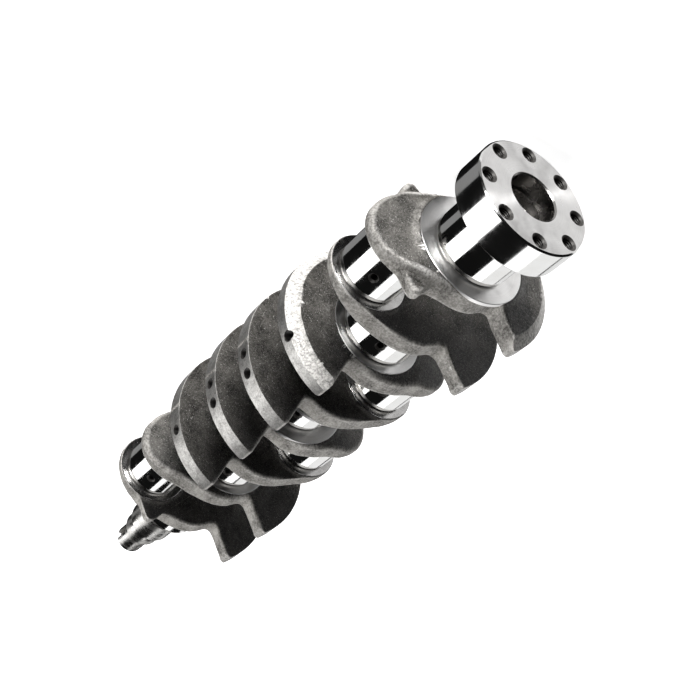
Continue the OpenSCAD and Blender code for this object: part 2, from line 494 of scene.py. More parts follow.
@dataclass(frozen=True)
class Span:
    """A node's box in millimetres."""

    low: Triple
    high: Triple

    @classmethod
    def of(cls, node: str) -> "Span":
        """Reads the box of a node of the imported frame."""
        low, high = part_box(node)
        return cls(tuple(v / MM for v in low), tuple(v / MM for v in high))

    @property
    def length(self) -> float:
        """Extent along the shaft."""
        return self.high[0] - self.low[0]

    @property
    def centre_y(self) -> float:
        """Middle of the node across the shaft."""
        return (self.low[1] + self.high[1]) / 2

    @property
    def radius(self) -> float:
        """Half of the height."""
        return (self.high[2] - self.low[2]) / 2


def link(name: str, data: object) -> Piece:
    """Makes an object from its data and links it to the scene."""
    made = bpy.data.objects.new(name, data)
    bpy.context.scene.collection.objects.link(made)
    return made


def solid(name: str, points: np.ndarray, faces: Sequence[Sequence[int]],
          materials: Sequence[Material], marks: Optional[Sequence[int]] = None) -> Piece:
    """Makes an object from points and faces, with its faces outwards.

    Args:
        name: object name.
        points: vertex places, in millimetres.
        faces: vertex numbers of each face.
        materials: its materials.
        marks: material number of each face.

    Returns:
        The object, linked to the scene.
    """
    if signed_volume(points, faces) < 0:
        faces = [tuple(reversed(f)) for f in faces]
    mesh = bpy.data.meshes.new(name)
    mesh.from_pydata([tuple(p) for p in points], [], faces)
    for material in materials:
        mesh.materials.append(material)
    if marks is not None:
        mesh.polygons.foreach_set("material_index", list(marks))
    mesh.update()
    return link(name, mesh)


def signed_volume(points: np.ndarray, faces: Sequence[Sequence[int]]) -> float:
    """Six times the volume that the faces enclose, negative if they point inwards.

    Args:
        points: vertex places.
        faces: vertex numbers of each face.

    Returns:
        The volume.
    """
    corners = [(f[0], f[i], f[i + 1]) for f in faces for i in range(1, len(f) - 1)]
    a, b, c = (points[np.array(k)] for k in zip(*corners))
    return float(np.einsum("ij,ij->", a, np.cross(b, c)))


def ring_faces(rows: int, columns: int, first: int = 0) -> list[tuple[int, int, int, int]]:
    """Faces between rows of points that go round.

    Args:
        rows: number of rows.
        columns: points in a row.
        first: number of the first point.

    Returns:
        The faces.
    """
    faces = []
    for i in range(rows - 1):
        for j in range(columns):
            k = (j + 1) % columns
            a, b = first + i * columns, first + (i + 1) * columns
            faces.append((a + j, a + k, b + k, b + j))
    return faces


def ring(x: float, radius: object, turn: np.ndarray, centre_y: float = 0.0) -> np.ndarray:
    """A row of points round a line along X, by radius and angle."""
    return np.stack([np.full(len(turn), x), centre_y + radius * np.cos(turn), radius * np.sin(turn)], 1)


def revolved(name: str, profile: Profile, material: Material, centre_y: float = 0.0,
             segments: int = 96) -> Piece:
    """A solid of revolution about a line along X.

    Args:
        name: object name.
        profile: places along X with a radius each; the ends are closed flat.
        material: its finish.
        centre_y: Y of the line.
        segments: steps round it.

    Returns:
        The object.
    """
    turn = np.linspace(0.0, 2 * math.pi, segments, endpoint=False)
    rows = [ring(x, r, turn, centre_y) for x, r in profile]
    faces: Faces = list(ring_faces(len(rows), segments))
    last = (len(rows) - 1) * segments
    faces.append(tuple(reversed(range(segments))))
    faces.append(tuple(range(last, last + segments)))
    return solid(name, np.concatenate(rows), faces, [material])


def swept(name: str, outline: Profile, start: float, end: float,
          materials: Sequence[Material], marks: Sequence[int], steps: int = 160) -> Piece:
    """A closed outline swept part of the way round X.

    Args:
        name: object name.
        outline: corners as place along X and radius.
        start: angle from +Y where it starts, in degrees.
        end: angle where it ends.
        materials: its finishes.
        marks: material number of each side of the outline.
        steps: steps of the sweep.

    Returns:
        The object.
    """
    turn = np.radians(np.linspace(start, end, steps + 1))
    n = len(outline)
    points = np.array([(x, r * math.cos(a), r * math.sin(a)) for a in turn for x, r in outline])
    faces: Faces = list(ring_faces(steps + 1, n))
    face_marks = [marks[j] for _ in range(steps) for j in range(n)]
    faces += [tuple(reversed(range(n))), tuple(range(steps * n, steps * n + n))]
    return solid(name, points, faces, materials, face_marks + [marks[0], marks[0]])


def carve(piece: Piece, tool: Piece, cut: Cut) -> None:
    """Adds a tool's solid to a piece or takes it away, and uses the tool up.

    Args:
        piece: the piece, changed in place.
        tool: the other solid; its finish goes over to the faces that it leaves.
        cut: what it does.
    """
    step = piece.modifiers.new("carve", "BOOLEAN")
    step.operation = cut.value
    step.solver = "MANIFOLD"
    step.material_mode = "TRANSFER"
    step.object = tool
    bake(piece)
    bpy.data.objects.remove(tool)


def drill(piece: Piece, profile: Profile, finish: Material, place: Triple, angle_deg: float) -> None:
    """Drills a round hole towards the shaft's axis.

    Args:
        piece: the piece, changed in place.
        profile: distance from the place along the hole with a radius each.
        finish: material of its wall.
        place: the point on the axis that the hole runs to.
        angle_deg: the hole's angle from +Y towards +Z.
    """
    tool = revolved("drill", profile, finish, segments=48)
    turn = Matrix.Rotation(math.radians(angle_deg), 4, "X") @ Matrix.Rotation(math.pi / 2, 4, "Z")
    tool.data.transform(Matrix.Translation(place) @ turn)
    carve(piece, tool, Cut.TAKE_AWAY)


def bake(piece: Piece) -> None:
    """Turns a piece's modifiers into plain mesh.

    Args:
        piece: the piece, changed in place.
    """
    graph = bpy.context.evaluated_depsgraph_get()
    mesh = bpy.data.meshes.new_from_object(piece.evaluated_get(graph), depsgraph=graph)
    mesh.name = piece.name
    piece.modifiers.clear()
    worn_out = piece.data
    piece.data = mesh
    bpy.data.meshes.remove(worn_out)


def finish_piece(piece: Piece, node: str, slot: Slot, sharp_deg: float = 28.0) -> None:
    """Scales a piece to metres, shades it and ties it to the frame.

    Args:
        piece: the piece, in millimetres.
        node: the node that it stands for.
        slot: its kind; pieces that are not forged get even shading and show in glossy reflections.
        sharp_deg: angle above which an edge shows.
    """
    mesh = piece.data
    mesh.transform(Matrix.Scale(MM, 4))
    mesh.polygons.foreach_set("use_smooth", [True] * len(mesh.polygons))
    mesh.set_sharp_from_angle(angle=math.radians(sharp_deg))
    mesh.update()
    if slot is not Slot.FORGED:
        lay = piece.modifiers.new("even_shading", "WEIGHTED_NORMAL")
        lay.mode, lay.weight, lay.keep_sharp = "FACE_AREA", 100, True
        bake(piece)
        mesh = piece.data
    piece.visible_glossy = slot is not Slot.FORGED
    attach(piece, "root")
    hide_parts(node)
    LOG.info("%s: %d faces, slot %s", piece.name, len(mesh.polygons), slot.value)


# ---------------------------------------------------------------- geometry rules


class Rule:
    """A Geometry Nodes tree with named inputs that ends in Realize Instances and Set Material."""

    def __init__(self, name: str, given: str, made: str, sizes: dict[str, str]) -> None:
        """Starts the tree.

        Args:
            name: the tree's name.
            given: name of the geometry that goes in.
            made: name of the geometry that comes out.
            sizes: kind of socket of each size that goes in, by its name.
        """
        self.group = bpy.data.node_groups.new(name, "GeometryNodeTree")
        face = self.group.interface
        face.new_socket(given, in_out="INPUT", socket_type="NodeSocketGeometry")
        self.keys = {key: face.new_socket(key, in_out="INPUT", socket_type="NodeSocket" + kind).identifier
                     for key, kind in {**sizes, "Finish": "Material"}.items()}
        face.new_socket(made, in_out="OUTPUT", socket_type="NodeSocketGeometry")
        self.tree = Tree(self.group)
        self.given = self.tree.add("NodeGroupInput").outputs

    def end(self, geometry: Socket) -> None:
        """Ends the tree: plain geometry, dressed in its finish.

        Args:
            geometry: socket of what the tree has made.
        """
        t = self.tree
        real, dress = t.add("GeometryNodeRealizeInstances"), t.add("GeometryNodeSetMaterial")
        out = t.add("NodeGroupOutput")
        t.wire(geometry, real.inputs[0])
        t.fill(dress, {"Geometry": real.outputs[0], "Material": self.given["Finish"]})
        t.wire(dress.outputs[0], out.inputs[0])

    def run(self, piece: Piece, values: dict[str, object]) -> None:
        """Runs the tree on an object and keeps the result as plain mesh.

        Args:
            piece: the object, changed in place.
            values: sizes and finish, by the names of the inputs.
        """
        step = piece.modifiers.new("rule", "NODES")
        step.node_group = self.group
        for key, value in values.items():
            step[self.keys[key]] = value
        bake(piece)


class TurningRule(Rule):
    """Turns a profile about a line along X.

    The profile is a line of points whose X is the place along the shaft and whose Y is the radius.
    """

    def __init__(self) -> None:
        """Builds the tree."""
        super().__init__("turning_rule", "Profile", "Body", {"Centre Y": "Float", "Steps": "Int"})
        t = self.tree
        line, radius = t.add("GeometryNodeMeshToCurve"), t.add("GeometryNodeCaptureAttribute")
        radius.capture_items.new("FLOAT", "Radius")
        place, parts = t.add("GeometryNodeInputPosition"), t.add("ShaderNodeSeparateXYZ")
        moved, joined = t.add("GeometryNodeSetPosition"), t.add("ShaderNodeCombineXYZ")
        hoop, body = t.add("GeometryNodeCurvePrimitiveCircle"), t.add("GeometryNodeCurveToMesh")
        t.wire(self.given["Profile"], line.inputs["Mesh"])
        t.wire(place.outputs[0], parts.inputs[0])
        t.fill(radius, {"Geometry": line.outputs[0], "Radius": parts.outputs["Y"]})
        t.fill(joined, {"X": parts.outputs["X"], "Y": self.given["Centre Y"]})
        t.fill(moved, {"Geometry": radius.outputs["Geometry"], "Position": joined.outputs[0]})
        t.fill(hoop, {"Resolution": self.given["Steps"], "Radius": 1.0})
        t.fill(body, {"Curve": moved.outputs[0], "Profile Curve": hoop.outputs[0],
                      "Scale": radius.outputs["Radius"], "Fill Caps": True})
        self.end(body.outputs[0])

    def turn(self, name: str, profile: Profile, finish: Material, centre_y: float, steps: int) -> Piece:
        """Turns a body.

        Args:
            name: object name.
            profile: places along X with a radius each.
            finish: its material.
            centre_y: Y of the line that it is turned about.
            steps: steps round it.

        Returns:
            The body as plain mesh, with its faces outwards.
        """
        mesh = bpy.data.meshes.new(name)
        sides = [(i, i + 1) for i in range(len(profile) - 1)]
        mesh.from_pydata([(x, r, 0.0) for x, r in profile], sides, [])
        piece = link(name, mesh)
        self.run(piece, {"Centre Y": centre_y, "Steps": steps, "Finish": finish})
        close_and_face_out(piece.data)
        return piece


class BoltCircleRule(Rule):
    """Sets copies of a tool on a circle round X."""

    def __init__(self) -> None:
        """Builds the tree."""
        super().__init__("bolt_circle_rule", "Tool", "Tools", {"Count": "Int", "Circle Radius": "Float"})
        t = self.tree
        circle, upright = t.add("GeometryNodeMeshCircle"), t.add("GeometryNodeTransform")
        copies = t.add("GeometryNodeInstanceOnPoints")
        t.fill(circle, {"Vertices": self.given["Count"], "Radius": self.given["Circle Radius"]})
        t.fill(upright, {"Geometry": circle.outputs[0], "Rotation": (math.pi / 2, 0.0, math.pi / 2)})
        t.fill(copies, {"Points": upright.outputs[0], "Instance": self.given["Tool"]})
        self.end(copies.outputs[0])

    def spread(self, tool: Piece, count: int, radius: float, finish: Material) -> None:
        """Turns one tool at the origin into a circle of them.

        Args:
            tool: the tool, changed in place.
            count: how many.
            radius: radius of the circle.
            finish: the material that they leave.
        """
        self.run(tool, {"Count": count, "Circle Radius": radius, "Finish": finish})
def close_and_face_out(mesh: bpy.types.Mesh) -> None:
    """Merges doubled points and turns the faces outwards.

    Args:
        mesh: the mesh, changed in place.
    """
    work = bmesh.new()
    work.from_mesh(mesh)
    bmesh.ops.remove_doubles(work, verts=work.verts, dist=0.0005)
    bmesh.ops.recalc_face_normals(work, faces=work.faces)
    if work.calc_volume(signed=True) < 0:
        bmesh.ops.reverse_faces(work, faces=work.faces)
    work.to_mesh(mesh)
    work.free()


# ---------------------------------------------------------------- sub-assemblies


@dataclass
class OilHole:
    """A radial oil hole with a countersunk mouth."""

    diameter: float = 5.2
    mouth: float = 1.4
    depth: float = 22.0
    corner: float = 0.25
    lip: float = 0.35

    def profile(self, radius: float) -> list[Pair]:
        """The hole's radii, from its drilled end to its mouth.

        Args:
            radius: the journal's radius.

        Returns:
            Distance from the axis with a radius each.
        """
        r = self.diameter / 2
        wide = r + self.mouth
        return [(radius - self.depth, r), (radius - self.mouth, r),
                (radius - self.corner, wide - self.corner), (radius + 0.4, wide + self.lip)]


@dataclass
class Journal:
    """A ground main journal or crankpin with an undercut groove at each end."""

    node: str
    oil_angle_deg: float
    oil_from_front: Optional[float] = None
    undercut: float = 1.0
    undercut_w: float = 2.6
    corner: float = 0.12
    steps: int = 144

    def profile(self, span: Span) -> list[Pair]:
        """Radii along the journal, from its front end to its rear end.

        Args:
            span: the journal's box.

        Returns:
            Places along X with a radius each.
        """
        r, w, u = span.radius, self.undercut_w, self.undercut
        low = r - u
        half = [(0.0, low + self.corner), (0.25, low), (w * 0.5, low), (w - 0.35, low),
                (w, low + self.corner), (w + u * 0.75, r - 0.16), (w + u, r - 0.03), (w + u + 0.3, r),
                (w + u + 0.6, r)]
        front = [(span.low[0] + x, radius) for x, radius in half]
        middle = [(span.low[0] + span.length * k / 6, r) for k in range(2, 5)]
        rear = [(span.high[0] - x, radius) for x, radius in reversed(half)]
        return front + middle + rear

    def build(self, rule: TurningRule, finishes: Finishes) -> None:
        """Turns, drills and dresses the journal.

        Args:
            rule: the turning rule.
            finishes: the shaft's finishes.
        """
        span = Span.of(self.node)
        centre = 0.0 if self.node.startswith("main") else math.copysign(THROW, span.centre_y)
        piece = rule.turn(self.node + "_look", self.profile(span), finishes.ground, centre, self.steps)
        piece.data.materials.append(finishes.groove)
        edge = self.undercut_w + self.undercut * 0.5
        for face in piece.data.polygons:
            near_end = min(face.center.x - span.low[0], span.high[0] - face.center.x) < edge
            face.material_index = 1 if near_end else 0
        along = span.length / 2 if self.oil_from_front is None else self.oil_from_front
        drill(piece, OilHole().profile(span.radius), finishes.drilled, (span.low[0] + along, centre, 0.0),
              self.oil_angle_deg)
        finish_piece(piece, self.node, Slot.JOURNAL)


@dataclass
class Snout:
    """The three ground steps of the snout, with the keyway and the hole for the pulley bolt."""

    chamfer: float = 1.0
    relief: float = 0.35
    key_w: float = 6.0
    key_depth: float = 3.6
    key_l: float = 19.0
    hole_d: float = 10.2
    hole_depth: float = 34.0
    hole_mouth: float = 1.6
    steps: int = 112
    nodes: tuple[str, ...] = ("sprocket_seat", "pulley_seat", "snout_nose")

    def step(self, node: str, rule: TurningRule, finishes: Finishes) -> Piece:
        """Turns one step, with its chamfer at the front and its relief at the rear.

        Args:
            node: name of the step's node.
            rule: the turning rule.
            finishes: the shaft's finishes.

        Returns:
            The step.
        """
        span = Span.of(node)
        r, c, lo, hi = span.radius, self.chamfer, span.low[0], span.high[0]
        profile = [(lo, r - c), (lo + c * 0.92, r - 0.08), (lo + c + 0.15, r), (lo + c + 0.4, r),
                   ((lo + hi) / 2, r), (hi - 2.4, r), (hi - 2.2, r), (hi - 2.0, r - self.relief),
                   (hi - 0.5, r - self.relief), (hi, r - 0.2)]
        return rule.turn(node + "_look", profile, finishes.snout, 0.0, self.steps)

    def bolt_hole(self, front: float) -> list[Pair]:
        """Radii along the hole, from its mouth to its drilled floor."""
        r, end = self.hole_d / 2, front + self.hole_depth
        return [(front - 1.0, r + self.hole_mouth), (front + 0.8, r), (end, r), (end + 2.6, 0.2)]

    def build(self, rule: TurningRule, finishes: Finishes) -> None:
        """Builds the three steps.

        Args:
            rule: the turning rule.
            finishes: the shaft's finishes.
        """
        nose = Span.of("snout_nose")
        for node in self.nodes:
            piece = self.step(node, rule, finishes)
            if node != "sprocket_seat":
                tool = revolved("bolt_drill", self.bolt_hole(nose.low[0]), finishes.drilled, segments=64)
                carve(piece, tool, Cut.TAKE_AWAY)
            if node == "snout_nose":
                carve(piece, self.key_cutter(nose, finishes.groove), Cut.TAKE_AWAY)
            finish_piece(piece, node, Slot.SNOUT)

    def key_cutter(self, nose: Span, finish: Material) -> Piece:
        """A milling cutter's path: a slot that is open at the front and rounded at its end.

        Args:
            nose: the nose's box.
            finish: material that it leaves.

        Returns:
            The tool.
        """
        half, floor, top = self.key_w / 2, nose.radius - self.key_depth, nose.radius + 1.0
        x0, x1 = nose.low[0] - 1.0, nose.low[0] + self.key_l
        side = [(x0, -half), (x1 - 2.0, -half), (x1 - 0.6, -half * 0.82), (x1, -half * 0.4)]
        outline = side + [(x, -z) for x, z in reversed(side)]
        n = len(outline)
        points = np.array([(x, y, z) for y in (floor, top) for x, z in outline])
        faces: Faces = [tuple(range(n)), tuple(reversed(range(n, 2 * n)))]
        faces += [(j, n + j, n + (j + 1) % n, (j + 1) % n) for j in range(n)]
        return solid("key_cutter", points, faces, [finish])


@dataclass
class Flange:
    """The flywheel flange: ground rim, turned face, stepped pilot bore and eight threaded holes."""

    node: str = "rear_flange"
    chamfer: float = 1.0
    bore_r: float = 17.5
    bore_depth: float = 13.0
    step_r: float = 15.5
    floor_x: float = -21.0
    mark_r: float = 7.0
    mark_depth: float = 3.0
    bolt_count: int = 8
    bolt_circle_r: float = 35.5
    thread_r: float = 4.25
    thread_depth: float = 0.55
    thread_pitch: float = 1.5
    thread_fade: float = 1.2
    hole_depth: float = 21.0
    countersink: float = 1.5
    around: int = 40
    rows_per_turn: int = 8
    steps: int = 192

    def threaded_tool(self, finish: Material) -> Piece:
        """A screw-shaped solid along X that leaves a threaded, countersunk hole.

        Args:
            finish: material that it leaves.

        Returns:
            The tool.
        """
        threaded = self.hole_depth - 0.6
        rows = int(threaded / self.thread_pitch * self.rows_per_turn)
        angle = np.arange(self.around) / self.around
        turn = 2 * math.pi * angle
        points = []
        for i in range(rows + 1):
            x = -self.hole_depth + i * threaded / rows
            phase = (x / self.thread_pitch + angle) % 1.0
            ridge = np.clip(np.abs(phase * 2 - 1) * 1.3 - 0.15, 0.0, 1.0)
            fade = min(1.0, max(0.0, (-x - self.countersink) / self.thread_fade))
            radius = self.thread_r + self.thread_depth * ridge * fade
            points.append(ring(x, np.maximum(radius, self.thread_r + self.countersink + x), turn))
        lip = self.thread_r + self.countersink
        points += [ring(x, lip + out, turn) for x, out in ((-0.25, -0.1), (0.0, 0.15), (0.6, 0.6))]
        faces: Faces = list(ring_faces(len(points), self.around))
        last = (len(points) - 1) * self.around
        faces += [tuple(reversed(range(self.around))), tuple(range(last, last + self.around))]
        return solid("thread_tool", np.concatenate(points), faces, [finish])

    def rim(self, span: Span) -> list[Pair]:
        """Radii along the rim, from the chamfer at its front to the one at its rear.

        Args:
            span: the flange's box.

        Returns:
            Places along X with a radius each.
        """
        r, c, lo = span.radius, self.chamfer, span.low[0]
        half = [(0.0, r - c - 0.2), (0.15, r - c), (c * 0.9, r - 0.12), (c + 0.2, r), (c + 0.5, r)]
        return [(lo + x, y) for x, y in half] + [(lo / 2, r)] + [(-x, y) for x, y in reversed(half)]

    def pilot_bore(self) -> list[Pair]:
        """Radii along the bore, from the lathe centre's mark to its mouth.

        Returns:
            Places along X with a radius each.
        """
        floor, c = self.floor_x, self.chamfer
        return [(floor - self.mark_depth, 0.3), (floor, self.mark_r), (floor + 0.01, self.step_r - 0.4),
                (floor + 0.4, self.step_r), (-self.bore_depth - 0.01, self.step_r),
                (-self.bore_depth, self.bore_r), (-c, self.bore_r), (0.0, self.bore_r + c),
                (0.5, self.bore_r + c + 0.5)]

    def build(self, rule: TurningRule, circle: BoltCircleRule, finishes: Finishes) -> None:
        """Turns, bores, drills and dresses the flange.

        Args:
            rule: the turning rule.
            circle: the bolt circle rule.
            finishes: the shaft's finishes.
        """
        span = Span.of(self.node)
        piece = rule.turn(self.node + "_look", self.rim(span), finishes.seal, 0.0, self.steps)
        piece.data.materials.append(finishes.face)
        for face in piece.data.polygons:
            face.material_index = 1 if abs(face.normal.x) > 0.9 else 0
        bore = revolved("boring_bar", self.pilot_bore(), finishes.bore, segments=128)
        carve(piece, bore, Cut.TAKE_AWAY)
        tool = self.threaded_tool(finishes.drilled)
        circle.spread(tool, self.bolt_count, self.bolt_circle_r, finishes.drilled)
        carve(piece, tool, Cut.TAKE_AWAY)
        finish_piece(piece, self.node, Slot.FLANGE)


class Forging:
    """The outline of a web and the shape of its two faces, with its crankpin towards +Y.

    Depths are measured from the plane of the collar on the same side, into the web.
    """

    CENTRE = (-10.0, 0.0)
    SPACING = 1.4
    BOSS_R = 30.3
    RIM_R = 72.9

    def __init__(self, lugs: bool) -> None:
        """Lays out the outline.

        Args:
            lugs: whether the flanks carry the two forging lugs.
        """
        self.lugs = lugs
        self.outline = self.lay_out()
        self.grid_y, self.grid_z, self.inside = self.lay_grid()

    def half_outline(self) -> list[Pair]:
        """Corners of the outline on one side, from the pin end to the middle of the rim.

        Returns:
            The corners, as Y and Z.
        """
        pin_end = [(THROW + self.BOSS_R * math.cos(a), self.BOSS_R * math.sin(a))
                   for a in np.radians(range(0, 64, 9))]
        if self.lugs:
            flank = [(53.6, 28.3), (50.6, 31.0), (47.6, 36.0), (44.8, 41.4), (42.2, 45.4), (39.2, 46.7),
                     (36.0, 45.6), (33.2, 42.6), (30.0, 39.4), (26.4, 38.2), (19.5, 39.6)]
        else:
            flank = [(50.5, 29.4), (43.5, 31.5), (36.6, 33.7), (29.8, 36.3), (23.0, 38.7), (14.0, 40.9)]
        neck = [(5.5, 41.6), (-2.0, 41.0), (-8.0, 39.2), (-13.0, 36.6), (-17.2, 34.6), (-20.6, 34.2),
                (-23.2, 35.9), (-25.2, 39.6), (-27.4, 44.2), (-30.0, 49.6), (-32.6, 54.6), (-34.8, 58.4),
                (-37.0, 60.1), (-40.6, 60.45)]
        rim = [(self.RIM_R * math.cos(a), self.RIM_R * math.sin(a))
               for a in np.radians(np.linspace(124.6, 180.0, 12))]
        return pin_end + flank + neck + rim

    def lay_out(self) -> np.ndarray:
        """The whole outline as evenly spaced points.

        Returns:
            The points, as Y and Z.
        """
        half = self.half_outline()
        corners = np.array(half + [(y, -z) for y, z in reversed(half[1:-1])])
        n = len(corners)
        fine = []
        for i in range(n):
            p0, p1, p2, p3 = (corners[(i + k) % n] for k in (-1, 0, 1, 2))
            for t in np.linspace(0.0, 1.0, 12, endpoint=False):
                fine.append(0.5 * (2 * p1 + (p2 - p0) * t + (2 * p0 - 5 * p1 + 4 * p2 - p3) * t * t
                                   + (3 * p1 - p0 - 3 * p2 + p3) * t ** 3))
        line = np.array(fine + [fine[0]])
        way = np.concatenate([[0.0], np.cumsum(np.linalg.norm(np.diff(line, axis=0), axis=1))])
        count = int(round(way[-1] / self.SPACING / 2)) * 2
        at = np.linspace(0.0, way[-1], count, endpoint=False)
        return np.stack([np.interp(at, way, line[:, 0]), np.interp(at, way, line[:, 1])], 1)

    def lay_grid(self) -> tuple[np.ndarray, np.ndarray, np.ndarray]:
        """Rows of points from the centre to the outline, and how far each lies inside it.

        Returns:
            Y, Z and distance inside the outline, row by row.
        """
        centre = np.array(self.CENTRE)
        reach = np.linalg.norm(self.outline - centre, axis=1)
        near_edge = np.array([10.2, 8.4, 6.8, 5.4, 4.2, 3.2, 2.4, 1.75, 1.2, 0.75, 0.4, 0.15, 0.0])
        rows = [0.03 + (1 - near_edge[0] / reach - 0.03) * k / 30 for k in range(30)]
        rows += [1 - s / reach for s in near_edge]
        share = np.array(rows)
        y = centre[0] + share * (self.outline[:, 0] - centre[0])
        z = centre[1] + share * (self.outline[:, 1] - centre[1])
        ends = np.roll(self.outline, -1, axis=0)
        side = ends - self.outline
        squared = np.sum(side * side, axis=1)
        spots = np.stack([y.ravel(), z.ravel()], 1)
        inside = np.empty(len(spots))
        for k in range(0, len(spots), 2000):
            away = spots[k:k + 2000, None, :] - self.outline[None]
            along = np.clip(np.einsum("ijk,jk->ij", away, side) / squared, 0.0, 1.0)
            gap = away - along[..., None] * side
            inside[k:k + 2000] = np.sqrt(np.min(np.einsum("ijk,ijk->ij", gap, gap), axis=1))
        return y, z, inside.reshape(y.shape)


def smooth_step(low: float, high: float, value: np.ndarray) -> np.ndarray:
    """0 below low, 1 above high, and a smooth rise between."""
    t = np.clip((value - low) / (high - low), 0.0, 1.0)
    return t * t * (3 - 2 * t)


def softened(value: np.ndarray, width: float) -> np.ndarray:
    """The value where it is above 0, else 0, with a rounded corner."""
    return 0.5 * (value + np.sqrt(value * value + width * width)) - 0.5 * width


def rounding(inside: np.ndarray, radius: np.ndarray) -> np.ndarray:
    """How far a rounded edge falls away, by the distance from the outline."""
    lack = np.clip(radius - inside, 0.0, radius)
    return radius - np.sqrt(np.maximum(radius * radius - lack * lack, 0.0))


@dataclass
class Web:
    """One forged web with its counterweight, collars, turned rim and balance drillings."""

    number: int
    collar: float = 7.0
    wide: bool = False
    lugs: bool = False
    drillings_deg: tuple[float, ...] = ()
    collar_h: float = 1.2
    pin_collar: float = 5.5
    main_r: float = 29.0
    pin_r: float = 24.0
    bevel_start: float = 37.0
    bevel_slope: float = 0.343
    rim_r: float = 71.4
    rim_cone: float = 8.0
    cone_slope: float = 0.8
    core_draft: float = 0.030
    weight_draft: float = 0.012
    drill_r: float = 4.0
    drill_depth: float = 18.0
    lug_depth: float = 9.2
    fillet: float = 2.4
    collar_sink: float = 0.35
    wall_rows: int = 7
    skin_wave: Pair = (0.20, 0.085)
    skin_sink: float = 0.12
    rim_sweep: Pair = (113.0, 247.0)

    @property
    def node(self) -> str:
        """Its node's name."""
        return f"web_{self.number}"

    @property
    def main_at_rear(self) -> bool:
        """Whether its main journal lies on the flange's side."""
        return self.number % 2 == 0

    @property
    def pin_down(self) -> bool:
        """Whether its crankpin points to -Y."""
        return self.number in (3, 4, 5, 6)

    def drafted(self, y: np.ndarray, z: np.ndarray, weight_face: float) -> np.ndarray:
        """Depth of a forged face that slopes away from the parting line.

        Args:
            y: place along the throw.
            z: place across it.
            weight_face: the counterweight's depth at the middle.

        Returns:
            The depth at each place.
        """
        height = np.sqrt(z * z + 1.0) - 1.0
        in_weight = smooth_step(40.0, 52.0, np.hypot(y, z)) * (1 - smooth_step(-18.0, -4.0, y))
        core = self.collar_h + self.core_draft * height
        weight = weight_face + self.weight_draft * height
        return core + (weight - core) * in_weight

    def beside_collar(self, depth: np.ndarray, beyond: np.ndarray) -> np.ndarray:
        """Lets a face rise to its collar, by the distance beyond the collar's edge."""
        share = 1 - np.exp(-(np.clip(beyond, 0.0, None) / self.fillet) ** 2)
        return self.collar_sink + (depth - self.collar_sink) * share

    def main_depth(self, y: np.ndarray, z: np.ndarray, inside: np.ndarray) -> np.ndarray:
        """Depth of the face beside the main journal.

        Args:
            y: places along the throw.
            z: places across it.
            inside: distances inside the outline.

        Returns:
            The depth at each place.
        """
        axis_r = np.hypot(y, z)
        depth = self.drafted(y, z, 3.5 if self.wide else 3.0)
        depth = depth + softened((y - self.bevel_start) * self.bevel_slope, 1.6)
        if self.lugs:
            flank = 29.1 + (50.7 - y) * 0.3148
            out = smooth_step(-1.5, 4.5, np.abs(z) - flank) * (y > 16) * (y < 54)
            depth = depth + (np.maximum(self.lug_depth, depth) - depth) * out
        depth = self.beside_collar(depth, axis_r - (self.main_r + self.collar))
        corner = 3.4 - 1.9 * smooth_step(64.0, 69.0, axis_r) * (y < -20)
        return depth + rounding(inside, corner)

    def pin_depth(self, y: np.ndarray, z: np.ndarray, inside: np.ndarray) -> np.ndarray:
        """Depth of the face beside the crankpin.

        Args:
            y: places along the throw.
            z: places across it.
            inside: distances inside the outline.

        Returns:
            The depth at each place.
        """
        depth = self.drafted(y, z, 0.3 if self.wide else 3.0)
        depth = self.beside_collar(depth, np.hypot(y - THROW, z) - (self.pin_r + self.pin_collar))
        corner = 2.6 - 1.7 * smooth_step(18.0, 30.0, y)
        corner = corner - 1.1 * smooth_step(64.0, 69.0, np.hypot(y, z)) * (y < -20)
        return depth + rounding(inside, corner)

    def skin(self, shape: Forging, span: Span) -> tuple[np.ndarray, Faces]:
        """Points and faces of the forging.

        Args:
            shape: outline and grid of the forging.
            span: box of the web's node.

        Returns:
            The points and the faces.
        """
        y, z, inside = shape.grid_y, shape.grid_z, shape.inside
        rows, columns = y.shape
        main = self.main_depth(y, z, inside)
        pin = span.length - self.pin_depth(y, z, inside)
        sheets = [np.stack([main, y, z], 2)]
        for k in range(1, self.wall_rows):
            share = k / self.wall_rows
            sheets.append(np.stack([main[-1] + (pin[-1] - main[-1]) * share, y[-1], z[-1]], 1)[None])
        sheets.append(np.stack([pin, y, z], 2)[::-1])
        body = np.concatenate(sheets)
        total = len(body)
        caps = np.array([[main[0].mean(), *shape.CENTRE], [pin[0].mean(), *shape.CENTRE]])
        points = np.concatenate([body.reshape(-1, 3), caps])
        faces: Faces = list(ring_faces(total, columns))
        front, back = total * columns, total * columns + 1
        last = (total - 1) * columns
        faces += [(front, (j + 1) % columns, j) for j in range(columns)]
        faces += [(back, last + j, last + (j + 1) % columns) for j in range(columns)]
        return points, faces

    def place(self, points: np.ndarray, span: Span) -> np.ndarray:
        """Puts points given by depth from the main face into the frame.

        Args:
            points: places by depth from the main face.
            span: box of the web's node.

        Returns:
            The same points in the frame.
        """
        placed = points.copy()
        placed[:, 0] = span.high[0] - points[:, 0] if self.main_at_rear else span.low[0] + points[:, 0]
        if self.pin_down:
            placed[:, 1:] *= -1
        return placed

